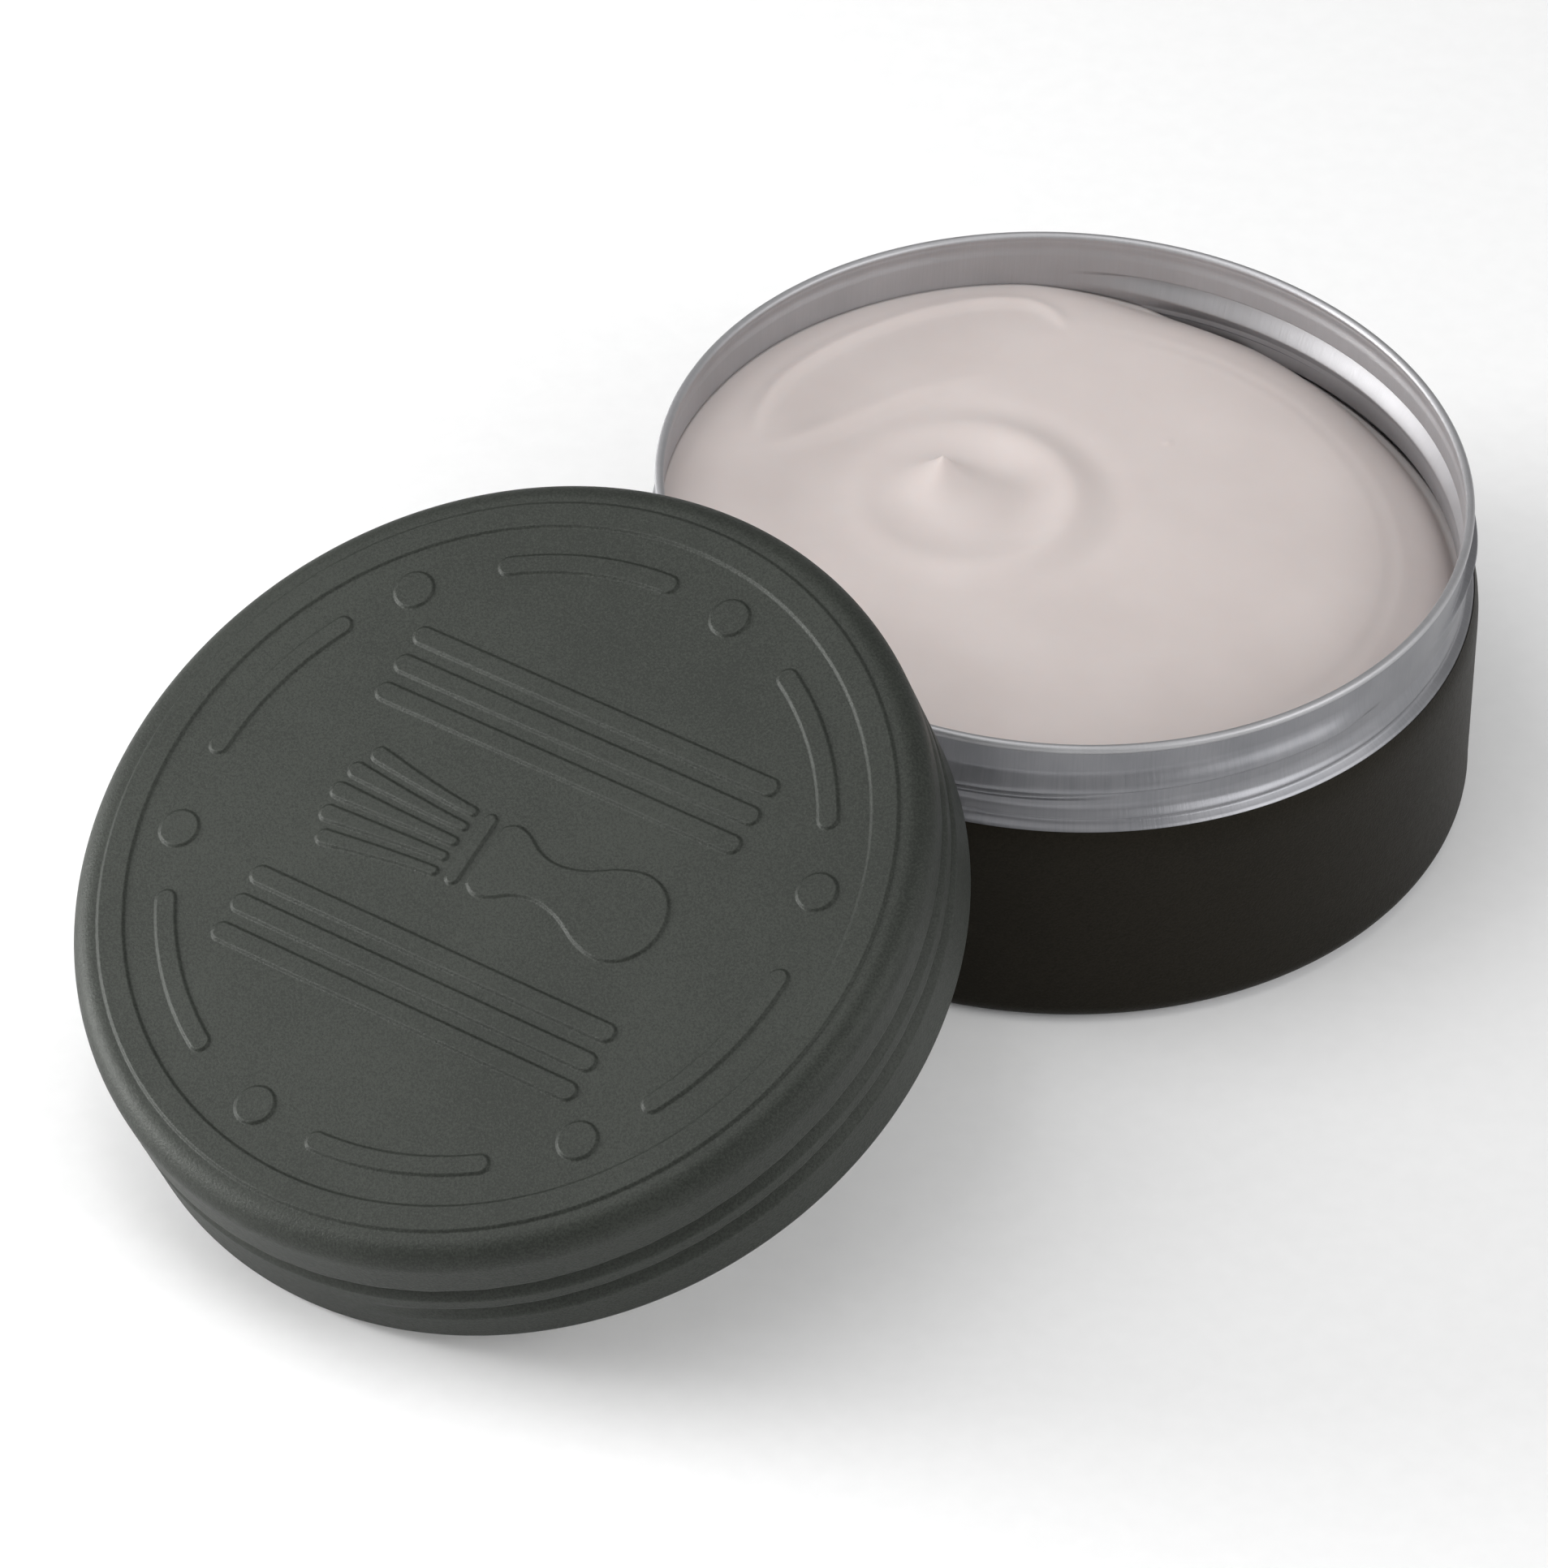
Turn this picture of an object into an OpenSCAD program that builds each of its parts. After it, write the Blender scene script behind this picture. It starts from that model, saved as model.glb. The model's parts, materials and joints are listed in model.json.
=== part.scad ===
// Shaving soap in a screw-top aluminium tin, with the lid off and leaning on the tin's rim.
// The origin is the centre of the tin's base, +Z is up, and -Y is the front.

/* [Tin] */
// Largest outside radius of the enamelled wall
tin_r = 41.5; // [38:0.1:46]
// Height of the tin to the top of its rolled lip
tin_h = 33.2; // [30:0.1:40]
// Height at which the enamel stops and the bare neck begins
enamel_h = 23.4; // [20:0.1:24.5]
// How much narrower the wall is under the shoulder than at the base
wall_taper = 0.45; // [0:0.05:0.8]
// Outside radius of the bare neck between its beads
neck_r = 39.3; // [36:0.1:40]
// Radius of the small roll that makes the lip
lip_roll = 0.5; // [0.4:0.05:0.7]
// Rounding between the base and the wall
base_round = 2.1; // [1.2:0.1:4]

/* [Sheet] */
// Thickness of the drawn aluminium
sheet = 0.35; // [0.3:0.05:0.5]
// Thickness of the baked enamel
enamel_t = 0.1; // [0.08:0.01:0.15]

/* [Soap] */
// Height of the soap where it meets the neck
soap_h = 26.7; // [20:0.1:26.8]
// How far the middle of the soap stands above its edge
soap_dome = 0.9; // [0:0.1:2]
// Angle at which the soap falls from the middle towards +X
soap_fall = 3.8; // [0:0.1:5]

/* [Lid] */
// Outside radius of the lid's skirt
lid_r = 41.6; // [39:0.1:46]
// Height of the lid from its hem to its raised pattern
lid_h = 15.4; // [13:0.1:18]
// Rounding between the lid's skirt and its top
lid_round = 2.3; // [1.5:0.1:3]
// How far the skirt is rolled in at the thread
roll_depth = 1.2; // [0.6:0.1:1.3]
// Distance from one turn of the thread to the next
thread_pitch = 4; // [3:0.1:4.5]
// Thickness of the foam liner
liner_t = 1.2; // [0.8:0.1:1.6]
// Gap between the foam liner and the sheet around it
liner_gap = 0.2; // [0.15:0.05:0.3]

/* [Pattern on the lid] */
// Height of the raised pattern
relief = 0.3; // [0.2:0.05:0.5]
// Inside radius of the raised ring near the edge
ring_in = 36; // [34:0.1:37]
// Outside radius of that ring
ring_out = 38.6; // [37.5:0.1:39]
// Radius of the circle on which the dots and dashes lie
dot_circle = 31.9; // [28:0.1:33]
// Diameter of a dot
dot_d = 3.9; // [2:0.1:5]
// Number of dots, with a dash after each
dot_count = 6; // [3:1:8]
// Width of the dashes and bars
dash_w = 1.95; // [1:0.05:3]
// Angle that a dash takes up, its round ends included
dash_angle = 33; // [20:1:40]
// Angle from a dot to the middle of the dash after it
dash_offset = 28.4; // [26:0.1:34]
// Angle from the bars to the first dot
dot_turn = 18.2; // [0:0.1:60]
// Length of the straight bars
bar_l = 42; // [30:0.5:44]
// Distance from the middle of the lid to the nearest bar
bar_first = 10.8; // [9:0.1:12]
// Distance from one bar to the next
bar_step = 3.3; // [2.5:0.1:4]
// Length of the brush figure in the middle
brush_l = 38; // [25:0.5:42]

/* [Pose] */
// Angle of the leaning lid from level
lid_tilt = 24.7; // [22:0.1:28]
// Direction from the tin to the lid, counter-clockwise from +X
lid_azimuth = 227.7; // [0:0.1:360]
// Turn of the lid's pattern about the lid's own axis
lid_spin = 99.2; // [0:0.1:360]
// Gap that keeps the lid's hem off the tin's lip
rest_gap = 0.15; // [0.1:0.05:0.5]

/* [Hidden] */
$fn = 96;

// Tin, worked out from the driving sizes
shoulder_drop = 3.4;
wall_top = enamel_h - shoulder_drop;
upper_r = tin_r - wall_taper;
enamel_edge_r = upper_r - 0.55;
lip_r = neck_r + 0.4 - lip_roll;
base_ring_r = 31;
base_ring_w = 1.6;
base_ring_rise = 0.5;

// Beads rolled into the neck: [height, half width, how far it stands out]
neck_beads = [[25.5, 0.75, 0.35], [28.3, 1.15, 0.8], [31.5, 0.5, 0.25]];

// Lid, in its own frame: the hem lies on z = 0 and the top faces +Z
lid_metal_r = lid_r - enamel_t;
lid_top = lid_h - relief;
lid_metal_top = lid_top - enamel_t;
grooves = [[lid_top - 9.6, 1.5], [lid_top - 9.6 + thread_pitch, 1.4]];
hem_bare = 0.3;

// The lid lies with its hem on the floor on one side and on the tin's lip on the other
rest_h = tin_h + rest_gap;
rest_s = rest_h / sin(lid_tilt);
half_chord_sq = pow(lid_metal_r - sheet, 2) - pow(rest_s - lid_r, 2);
floor_line = rest_h / tan(lid_tilt) + sqrt(pow(lip_r, 2) - half_chord_sq);
hem_reach = floor_line - lid_r * cos(lid_tilt);
hem_height = lid_r * sin(lid_tilt);

// Points of an arc about [cx, cy], from one angle to another
function arc(cx, cy, r, from, to, steps) =
    [for (i = [0:steps]) let (a = from + (to - from) * i / steps)
        [cx + r * cos(a), cy + r * sin(a)]];

// Points of a smooth bump on a wall of radius r: depth is the way out, and negative is in
function bump(r, z, half, depth, steps) =
    [for (i = [0:steps]) let (t = 2 * i / steps - 1)
        [r + depth * (1 + cos(180 * t)) / 2, z + half * t]];

function flatten(lists) = [for (part = lists) for (point = part) point];

// Outside of the metal from the base's flat to the top of the lip, moved in by d.
// The wall and the base keep the thickness d, and the neck's beads go through the sheet.
function tin_side(d) = flatten([
    arc(tin_r - enamel_t - base_round, base_round, base_round - d, -90, 0, 6),
    [[upper_r - enamel_t - d, wall_top],
     [upper_r - enamel_t - d - 0.12, wall_top + 1.7],
     [enamel_edge_r - enamel_t - d, enamel_h]],
    [[neck_r - d + 0.35, enamel_h + 0.55], [neck_r - d, enamel_h + 1.2]],
    flatten([for (b = neck_beads) bump(neck_r - d, b[0], b[1], b[2], 6)])
]);

// Inside of the tin, which the soap fills, from the axis outwards and up to height top
function tin_inside(top) = concat(
    [[0, sheet], [base_ring_r - base_ring_w, sheet]],
    [[base_ring_r - base_ring_w / 2, sheet + base_ring_rise],
     [base_ring_r + base_ring_w / 2, sheet + base_ring_rise],
     [base_ring_r + base_ring_w, sheet]],
    [for (p = tin_side(sheet)) if (p[1] < top) p]
);

module tin_body() {
    lip_z = tin_h - lip_roll;
    inside = tin_inside(tin_h);
    color("silver") rotate_extrude()
        polygon(concat(
            [[0, 0], [base_ring_r - base_ring_w, 0],
             [base_ring_r - base_ring_w / 2, base_ring_rise],
             [base_ring_r + base_ring_w / 2, base_ring_rise],
             [base_ring_r + base_ring_w, 0]],
            tin_side(0),
            [[neck_r, lip_z - 0.45]],
            arc(lip_r, lip_z, lip_roll, -60, 180, 9),
            [[neck_r - sheet, lip_z - 0.45]],
            [for (i = [len(inside) - 1:-1:0]) inside[i]]
        ));
}

module tin_enamel() {
    skin_low = base_round * 0.3;
    bare = [for (p = tin_side(0)) if (p[1] > skin_low && p[1] <= enamel_h) p];
    last = len(bare) - 1;
    color("#2c2e29") rotate_extrude()
        polygon(concat(
            bare,
            [[bare[last][0] + enamel_t, bare[last][1] - 0.02]],
            [for (i = [last - 1:-1:1]) [bare[i][0] + enamel_t, bare[i][1]]]
        ));
}

module soap_puck() {
    edge = [for (p = tin_side(sheet)) if (p[1] < soap_h) p];
    edge_r = edge[len(edge) - 1][0];
    color("#cbc1bd") difference() {
        rotate_extrude()
            polygon(concat(
                tin_inside(soap_h),
                [[edge_r, soap_h]],
                [for (i = [1:6]) let (t = i / 6)
                    [edge_r * (1 - t), soap_h + soap_dome * sin(90 * t)]]
            ));
        translate([0, 0, soap_h + soap_dome]) rotate([0, soap_fall, 0])
            translate([0, -tin_r, 0]) cube([1.2 * tin_r, 2 * tin_r, 10]);
    }
}

// Side and top of the lid from above its hem to the axis: the skirt's radius is r, the top
// lies at height top and the shoulder between them has radius s
function lid_side(r, top, s) = concat(
    flatten([for (g = grooves) bump(r, g[0], g[1], -roll_depth, 8)]),
    arc(r - s, top - s, s, 0, 90, 6),
    [[0, top]]
);

// Straight bar with round ends, lying along X with its middle at height y
module bar(y, length, width, height) {
    straight = length - width;
    translate([-straight / 2, y - width / 2, 0]) cube([straight, width, height]);
    for (side = [-1, 1])
        translate([side * straight / 2, y, 0]) cylinder(d = width, h = height);
}

// Dash with round ends, bent along the circle of the dots and centred on +X
module dash(width, height) {
    sweep = dash_angle - 2 * asin(dash_w / 2 / dot_circle);
    rotate([0, 0, -sweep / 2]) rotate_extrude(angle = sweep)
        translate([dot_circle - width / 2, 0]) square([width, height]);
    for (side = [-1, 1])
        rotate([0, 0, side * sweep / 2])
            translate([dot_circle, 0, 0]) cylinder(d = width, h = height);
}

// A lather brush seen from the side, lying along X: the hair to the left, the handle to
// the right. The two outlines are half widths along the figure's length.
hair = [[-0.5, 0.005], [-0.497, 0.06], [-0.475, 0.125], [-0.43, 0.165], [-0.33, 0.16],
        [-0.2, 0.12], [-0.1, 0.095]];
handle = [[-0.085, 0.095], [-0.05, 0.11], [0.02, 0.1], [0.09, 0.06], [0.17, 0.055],
          [0.26, 0.09], [0.36, 0.125], [0.43, 0.12], [0.48, 0.075], [0.5, 0.005]];

module half_widths(points, grow) {
    upper = [for (p = points) [(brush_l + 2 * grow) * p[0], brush_l * p[1] + grow]];
    lower = [for (i = [len(points) - 1:-1:0]) [upper[i][0], -upper[i][1]]];
    polygon(concat(upper, lower));
}

module brush(grow, height) {
    linear_extrude(height) half_widths(hair, grow);
    linear_extrude(height) half_widths(handle, grow);
}

// The whole raised pattern. Under the enamel it is lower and narrower by the skin's
// thickness, which is what grow adds.
module pattern(grow) {
    high = relief + (grow > 0 ? enamel_t : 0);
    wide = dash_w - 2 * enamel_t + 2 * grow;
    rotate_extrude()
        translate([ring_in + enamel_t - grow, 0])
            square([ring_out - ring_in - 2 * enamel_t + 2 * grow, high]);
    rotate([0, 0, dot_turn])
        for (i = [0:dot_count - 1])
            rotate([0, 0, 360 / dot_count * i]) {
                translate([dot_circle, 0, 0])
                    cylinder(d = dot_d - 2 * enamel_t + 2 * grow, h = high);
                rotate([0, 0, dash_offset]) dash(wide, high);
            }
    for (side = [-1, 1], i = [0:2])
        bar(side * (bar_first + i * bar_step), bar_l - 2 * enamel_t + 2 * grow, wide, high);
    brush(grow, high);
}

module lid_place() {
    rotate([0, 0, lid_azimuth]) translate([hem_reach, 0, hem_height])
        rotate([0, lid_tilt, 0]) rotate([0, 0, lid_spin]) children();
}

module lid_shell() {
    inner_r = lid_metal_r - sheet;
    inner_top = lid_metal_top - sheet;
    inside = lid_side(inner_r, inner_top, lid_round - sheet);
    color("silver") lid_place() {
        rotate_extrude()
            polygon(concat(
                [[inner_r, 0], [lid_metal_r, 0]],
                lid_side(lid_metal_r, lid_metal_top, lid_round),
                [for (i = [len(inside) - 1:-1:0]) inside[i]]
            ));
        translate([0, 0, lid_metal_top]) pattern(0);
    }
}

module lid_enamel() {
    inside = lid_side(lid_metal_r, lid_metal_top, lid_round);
    color("#454943") lid_place() difference() {
        union() {
            rotate_extrude()
                polygon(concat(
                    [[lid_metal_r, hem_bare], [lid_r, hem_bare]],
                    lid_side(lid_r, lid_top, lid_round),
                    [for (i = [len(inside) - 1:-1:0]) inside[i]]
                ));
            translate([0, 0, lid_metal_top]) pattern(enamel_t);
        }
        translate([0, 0, lid_metal_top]) pattern(0);
    }
}

module lid_liner() {
    liner_top = lid_metal_top - sheet - liner_gap;
    color("white") lid_place() translate([0, 0, liner_top - liner_t])
        cylinder(r = lid_metal_r - lid_round, h = liner_t);
}

tin_body();
tin_enamel();
soap_puck();
lid_shell();
lid_enamel();
lid_liner();
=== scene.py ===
"""Looks of a tin of shaving soap: an open aluminium tin, its soap, and the lid that leans on its rim.

Sizes are in millimetres, as in the CAD model, and turn into metres where a mesh is made.
The tin is built in the frame's own axes. The lid's pieces are built upright in the lid's own axes,
with the hem on z = 0 and the top towards +Z, and their objects are placed by the lid_turn joint.
"""

import json
import math

import bpy
import numpy as np
from mathutils import Matrix, Vector
from mathutils.geometry import delaunay_2d_cdt

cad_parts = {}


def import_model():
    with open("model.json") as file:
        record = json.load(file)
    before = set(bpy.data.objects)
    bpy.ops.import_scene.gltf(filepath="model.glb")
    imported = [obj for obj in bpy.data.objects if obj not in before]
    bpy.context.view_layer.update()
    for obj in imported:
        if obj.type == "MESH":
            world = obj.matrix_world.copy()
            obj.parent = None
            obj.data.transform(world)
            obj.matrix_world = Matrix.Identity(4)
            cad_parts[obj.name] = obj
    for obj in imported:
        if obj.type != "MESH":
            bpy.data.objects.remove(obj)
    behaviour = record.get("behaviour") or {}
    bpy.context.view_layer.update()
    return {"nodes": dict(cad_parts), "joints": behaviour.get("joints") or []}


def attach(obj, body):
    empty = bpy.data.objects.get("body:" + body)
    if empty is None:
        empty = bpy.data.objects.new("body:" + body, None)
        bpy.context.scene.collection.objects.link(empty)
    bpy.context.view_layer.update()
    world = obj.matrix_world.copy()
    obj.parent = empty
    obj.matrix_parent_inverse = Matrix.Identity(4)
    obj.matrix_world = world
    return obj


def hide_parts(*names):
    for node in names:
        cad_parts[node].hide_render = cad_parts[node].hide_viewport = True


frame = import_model()

MM = 0.001
SEGMENTS = 360
THETA = np.linspace(0, 2 * math.pi, SEGMENTS, endpoint=False)
THETA_DEG = np.degrees(THETA)


# ---------------------------------------------------------------- places and sizes from the frame


def joint(name):
    return next(j for j in frame["joints"] if j["name"] == name)


def polar(radius, angle):
    """The point (x, y) at an angle in radians."""
    return radius * math.cos(angle), radius * math.sin(angle)


def lid_matrix(spin_deg):
    """Where the lid stands: its hem's centre and axis, with its pattern turned about that axis."""
    turn = joint("lid_turn")
    axis = Vector(turn["axis"]).normalized()
    azimuth = math.atan2(axis.y, axis.x)
    tilt = math.acos(axis.z)
    return (
        Matrix.Translation(turn["pos_m"])
        @ Matrix.Rotation(azimuth, 4, "Z")
        @ Matrix.Rotation(tilt, 4, "Y")
        @ Matrix.Rotation(math.radians(spin_deg), 4, "Z")
    )


def turned_size(node, place):
    """Largest radius, lowest z and highest z of a CAD node in the axes of place, in millimetres."""
    back = place.inverted()
    points = np.array([back @ v.co for v in frame["nodes"][node].data.vertices]) / MM
    return np.hypot(points[:, 0], points[:, 1]).max(), points[:, 2].min(), points[:, 2].max()


UPRIGHT = Matrix.Identity(4)
LID_PLACE = lid_matrix(spin_deg=99.2)

TIN_R, _, ENAMEL_H = turned_size("tin_enamel", UPRIGHT)
_, _, TIN_H = turned_size("tin_body", UPRIGHT)
LID_R, HEM_BARE, LID_H = turned_size("lid_enamel", LID_PLACE)
LINER_R, LINER_LOW, LINER_HIGH = turned_size("lid_liner", LID_PLACE)

SHEET = 0.35
ENAMEL = 0.1
SKIN_GAP = 0.01

# ---------------------------------------------------------------- meshes


def smoothstep(x):
    x = np.clip(x, 0, 1)
    return x * x * (3 - 2 * x)


def bell(x):
    """1 at x = 0, falling smoothly to 0 at x = -1 and x = 1."""
    return 0.5 * (1 + np.cos(np.pi * np.clip(x, -1, 1)))


def hump(z, crest, up, down):
    """A rounded ridge along z: up is its reach above the crest, and down is its reach below."""
    reach = np.where(z >= crest, up, down)
    return bell((z - crest) / reach)


def ridge(z, crest, up, down):
    """A ridge along z like a hump, but with straight flanks and a nearly sharp crest."""
    reach = np.where(z >= crest, up, down)
    flank = np.clip(1 - np.abs(z - crest) / reach, 0, 1)
    return 0.7 * flank + 0.3 * smoothstep(flank)


def arc(cx, cz, radius, start, end, steps):
    """Points (r, z) of an arc in a profile, from one angle to another in degrees."""
    angles = np.radians(np.linspace(start, end, steps + 1))
    return [(cx + radius * math.cos(a), cz + radius * math.sin(a)) for a in angles]


class Builder:
    """Collects points and faces, in millimetres."""

    def __init__(self):
        self.points = []
        self.faces = []
        self.inside_from = 0

    def add(self, points):
        first = len(self.points)
        self.points.extend(map(tuple, points))
        return list(range(first, first + len(points)))

    def ring(self, r, z):
        """A ring about the Z axis. Its r and z are numbers, or have one value for each THETA."""
        columns = (r * np.cos(THETA), r * np.sin(THETA), z + 0 * THETA)
        return self.add(np.stack(columns, 1))

    def bridge(self, low, high):
        """Quads between two closed loops with the same number of points."""
        n = len(low)
        for i in range(n):
            j = (i + 1) % n
            self.faces.append((low[i], low[j], high[j], high[i]))

    def strips(self, loops):
        for low, high in zip(loops, loops[1:]):
            self.bridge(low, high)

    def fan(self, loop, point, reverse=False):
        centre = self.add([point])[0]
        n = len(loop)
        for i in range(n):
            a, b = loop[i], loop[(i + 1) % n]
            self.faces.append((b, a, centre) if reverse else (a, b, centre))

    def fill(self, outer, holes=()):
        """Flat triangles, facing +Z, inside the loop outer and outside the loops in holes."""
        loops = [outer, *holes]
        ids = [i for loop in loops for i in loop]
        flat = np.array([self.points[i][:2] for i in ids])
        edges, start, closed = [], 0, []
        for loop in loops:
            n = len(loop)
            edges += [(start + i, start + (i + 1) % n) for i in range(n)]
            closed.append(flat[start : start + n])
            start += n
        made = delaunay_2d_cdt([Vector(p) for p in flat], edges, [], 0, 1e-5)
        origin = [ids[o[0]] for o in made[3]]
        corners = np.array([[made[0][k][:] for k in face] for face in made[2]])
        middles = corners.mean(axis=1)
        keep = inside(middles, closed[0])
        for hole in closed[1:]:
            keep &= ~inside(middles, hole)
        for face, kept in zip(made[2], keep):
            if kept:
                self.faces.append(tuple(origin[k] for k in face))

    def make(self, name, material, place=UPRIGHT, inside_material=None):
        """An object of these faces. Those from inside_from on may have a material of their own."""
        mesh = bpy.data.meshes.new(name)
        mesh.from_pydata([place @ (Vector(p) * MM) for p in self.points], [], self.faces)
        mesh.validate()
        mesh.shade_smooth()
        mesh.materials.append(material)
        if inside_material is not None:
            mesh.materials.append(inside_material)
            for face in mesh.polygons[self.inside_from :]:
                face.material_index = 1
        piece = bpy.data.objects.new(name, mesh)
        bpy.context.scene.collection.objects.link(piece)
        return piece


def inside(points, loop):
    """Which of the points lie inside a closed loop, by counting crossings."""
    x, y = points[:, 0, None], points[:, 1, None]
    ax, ay = loop[:, 0], loop[:, 1]
    bx, by = np.roll(ax, -1), np.roll(ay, -1)
    straddles = (ay > y) != (by > y)
    rise = np.where(by == ay, 1, by - ay)
    crossing = ax + (y - ay) * (bx - ax) / rise
    return (straddles & (x < crossing)).sum(axis=1) % 2 == 1


# ---------------------------------------------------------------- the tin

WALL_TAPER = 0.45
WALL_TOP = ENAMEL_H - 3.4
WALL_R = TIN_R - ENAMEL
BASE_ROUND = 2.1
# Radii of the plain rings inside the base's stiffening groove, and of the flat outside it
BASE_MIDDLE = (6, 20)
BASE_FLAT_R = 35
BASE_RING_R = 31
BASE_RING_W = 1.6
BASE_RING_RISE = 0.5
EDGE_R = 40.4
NECK_R = 39.3
NECK_FOOT = ENAMEL_H + 1.3
NECK_STEP = 0.09
FOOT_BEAD_Z = 24.6
MOUTH_BEAD_Z = 31.4
LIP_ROLL = 0.45
LIP_R = NECK_R + 0.4 - LIP_ROLL
LIP_Z = TIN_H - LIP_ROLL

# The neck's thread has two starts, and its angles run clockwise from them. The first runs level
# behind the soap, with a long slope under its crest, and then winds down the front.
FIRST_START = 92
FIRST_LEVEL = 90
FIRST_Z = 28.3
SECOND_START = 322
SECOND_LEVEL = 25
SECOND_Z = 28.3
THREAD_LENGTH = 320
THREAD_LEAD = 6.1


def along_thread(start, rise):
    """Degrees from a thread's start for each angle, and how much of its depth it has there."""
    along = (start - THETA_DEG) % 360
    return along, smoothstep(along / rise) * smoothstep((THREAD_LENGTH - along) / 40)


def neck_thread(z):
    """How far the thread stands out at height z, for each angle."""
    along, share = along_thread(FIRST_START, 22)
    front = smoothstep((along - FIRST_LEVEL) / 30)
    back = 1.05 * (1 - front) * ridge(z, FIRST_Z, 0.5, 1.0 + 1.6 * smoothstep(along / 30))
    crest = FIRST_Z - 3 - THREAD_LEAD * np.maximum(0, along - FIRST_LEVEL - 30) / 360
    first = share * (back + 0.45 * front * hump(z, crest, 1.7, 0.6))
    along, share = along_thread(SECOND_START, 12)
    crest = SECOND_Z - THREAD_LEAD * np.maximum(0, along - SECOND_LEVEL) / 360
    second = 0.8 * share * hump(z, crest, 2.2, 0.55)
    ledge = 0.28 * share * smoothstep((along - 40) / 18) * hump(z, crest - 0.95, 0.4, 0.6)
    return np.maximum(first, second + ledge)


def neck_out(z):
    """Outside radius of the neck at height z, for each angle."""
    foot_bead = 0.3 * hump(z, FOOT_BEAD_Z, 0.9, 0.4)
    return NECK_R + foot_bead + neck_thread(z)


def neck_in(z):
    """Inside radius of the neck at height z, for each angle."""
    return NECK_R - SHEET + 0.1 * hump(z, MOUTH_BEAD_Z, 0.9, 0.9) + neck_thread(z)


def shoulder(drop=0.0):
    """Profile of the shoulder, from the straight wall to the foot of the neck, moved in by drop."""
    return [
        (WALL_R - WALL_TAPER - drop, WALL_TOP),
        (WALL_R - WALL_TAPER - 0.05 - drop, WALL_TOP + 1.0),
        (WALL_R - WALL_TAPER - 0.16 - drop, WALL_TOP + 1.9),
        (WALL_R - WALL_TAPER - 0.32 - drop, WALL_TOP + 2.7),
        (EDGE_R - drop, ENAMEL_H),
    ]


def wall(drop=0.0):
    """Profile of the base's corner and the straight wall, moved in by drop."""
    corner = arc(WALL_R - BASE_ROUND, BASE_ROUND, BASE_ROUND - drop, -90, 0, 10)
    heights = np.linspace(BASE_ROUND + 1.5, WALL_TOP - 1.5, 8)
    taper = [(WALL_R - drop - WALL_TAPER * z / WALL_TOP, z) for z in heights]
    return corner + taper


def base_ring(height):
    """Profile of the stiffening groove in the base, from its inside out."""
    steps = np.linspace(-1, 1, 9)
    return [(BASE_RING_R + BASE_RING_W * t, height + BASE_RING_RISE * bell(t)) for t in steps]


def tin_shell(material, inside_material):
    """The drawn tin: bare outside its neck and under its base, and inside a lighter copy of the same
    aluminium, as painted light on the inner wall.
    """
    b = Builder()
    outside = [(r, 0) for r in BASE_MIDDLE]
    outside += [*base_ring(0), (BASE_FLAT_R, 0), *wall(), *shoulder()]
    outside += [(EDGE_R - 0.28, ENAMEL_H + 0.28), (EDGE_R - 0.7, ENAMEL_H + 0.55)]
    outside += [(NECK_R + 0.12, ENAMEL_H + 0.9)]
    neck_top = LIP_Z - 0.3
    heights = np.arange(NECK_FOOT, neck_top, NECK_STEP)
    loops = [b.ring(r, z) for r, z in outside]
    b.fan(loops[0], (0, 0, 0), reverse=True)
    loops += [b.ring(neck_out(z), z) for z in heights]
    b.strips(loops)
    b.inside_from = len(b.faces)
    loops = loops[-1:]
    loops += [b.ring(r, z) for r, z in arc(LIP_R, LIP_Z, LIP_ROLL, -40, 180, 18)]
    loops += [b.ring(neck_in(z), z) for z in heights[::-1]]
    within = [(NECK_R - SHEET, ENAMEL_H - 0.2), (NECK_R - SHEET + 0.3, ENAMEL_H - 0.5)]
    within += [*wall(SHEET), *shoulder(SHEET)[:2]][::-1]
    within += [(BASE_FLAT_R, SHEET), *base_ring(SHEET)[::-1]]
    within += [(r, SHEET) for r in BASE_MIDDLE[::-1]]
    loops += [b.ring(r, z) for r, z in within]
    b.strips(loops)
    b.fan(loops[-1], (0, 0, SHEET))
    piece = b.make("tin_shell", material, inside_material=inside_material)
    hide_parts("tin_body")
    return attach(piece, "tin")


def tin_coat(material):
    """The baked enamel on the tin's wall, from the base's corner to the foot of the neck."""
    b = Builder()
    skin = [p for p in [*wall(), *shoulder()] if p[1] > 0.3 * BASE_ROUND]
    inner = [(r + SKIN_GAP, z) for r, z in skin]
    outer = [(r + ENAMEL, z) for r, z in skin]
    outer[-1] = (outer[-1][0] - 0.04, outer[-1][1])
    rim = (EDGE_R + SKIN_GAP + 0.03, ENAMEL_H + 0.04)
    loops = [b.ring(r, z) for r, z in [*outer, rim, *inner[::-1]]]
    b.strips(loops)
    b.bridge(loops[-1], loops[0])
    piece = b.make("tin_coat", material)
    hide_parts("tin_enamel")
    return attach(piece, "tin")


# ---------------------------------------------------------------- the soap

SOAP_EDGE_Z = 26.95
SOAP_DOME = 0.6
SOAP_GRID = 260
SOAP_BASE_Z = SHEET + 0.6
PEAK = (-11.8, 6.6)
PEAK_FOOT = (-12.4, 5.4)
SWIRL = (-9.3, 4.6)
SWIRL_R = 10.6
CRUMB = (10.3, 14.6)

# Paths over the soap of the lip of an earlier scoop, and of the next stroke
SCOOP = [
    (-30.5, 10.5),
    (-29.9, 15.5),
    (-27.6, 21),
    (-22.5, 27),
    (-15.5, 32.3),
    (-8, 35.4),
    (-2.6, 35.3),
    (0.6, 31.5),
]
STROKE = [(-30.3, 10.3), (-25, 12.6), (-20, 15.9), (-15, 19.6), (-10, 22.6), (-4.5, 25.1)]


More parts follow.
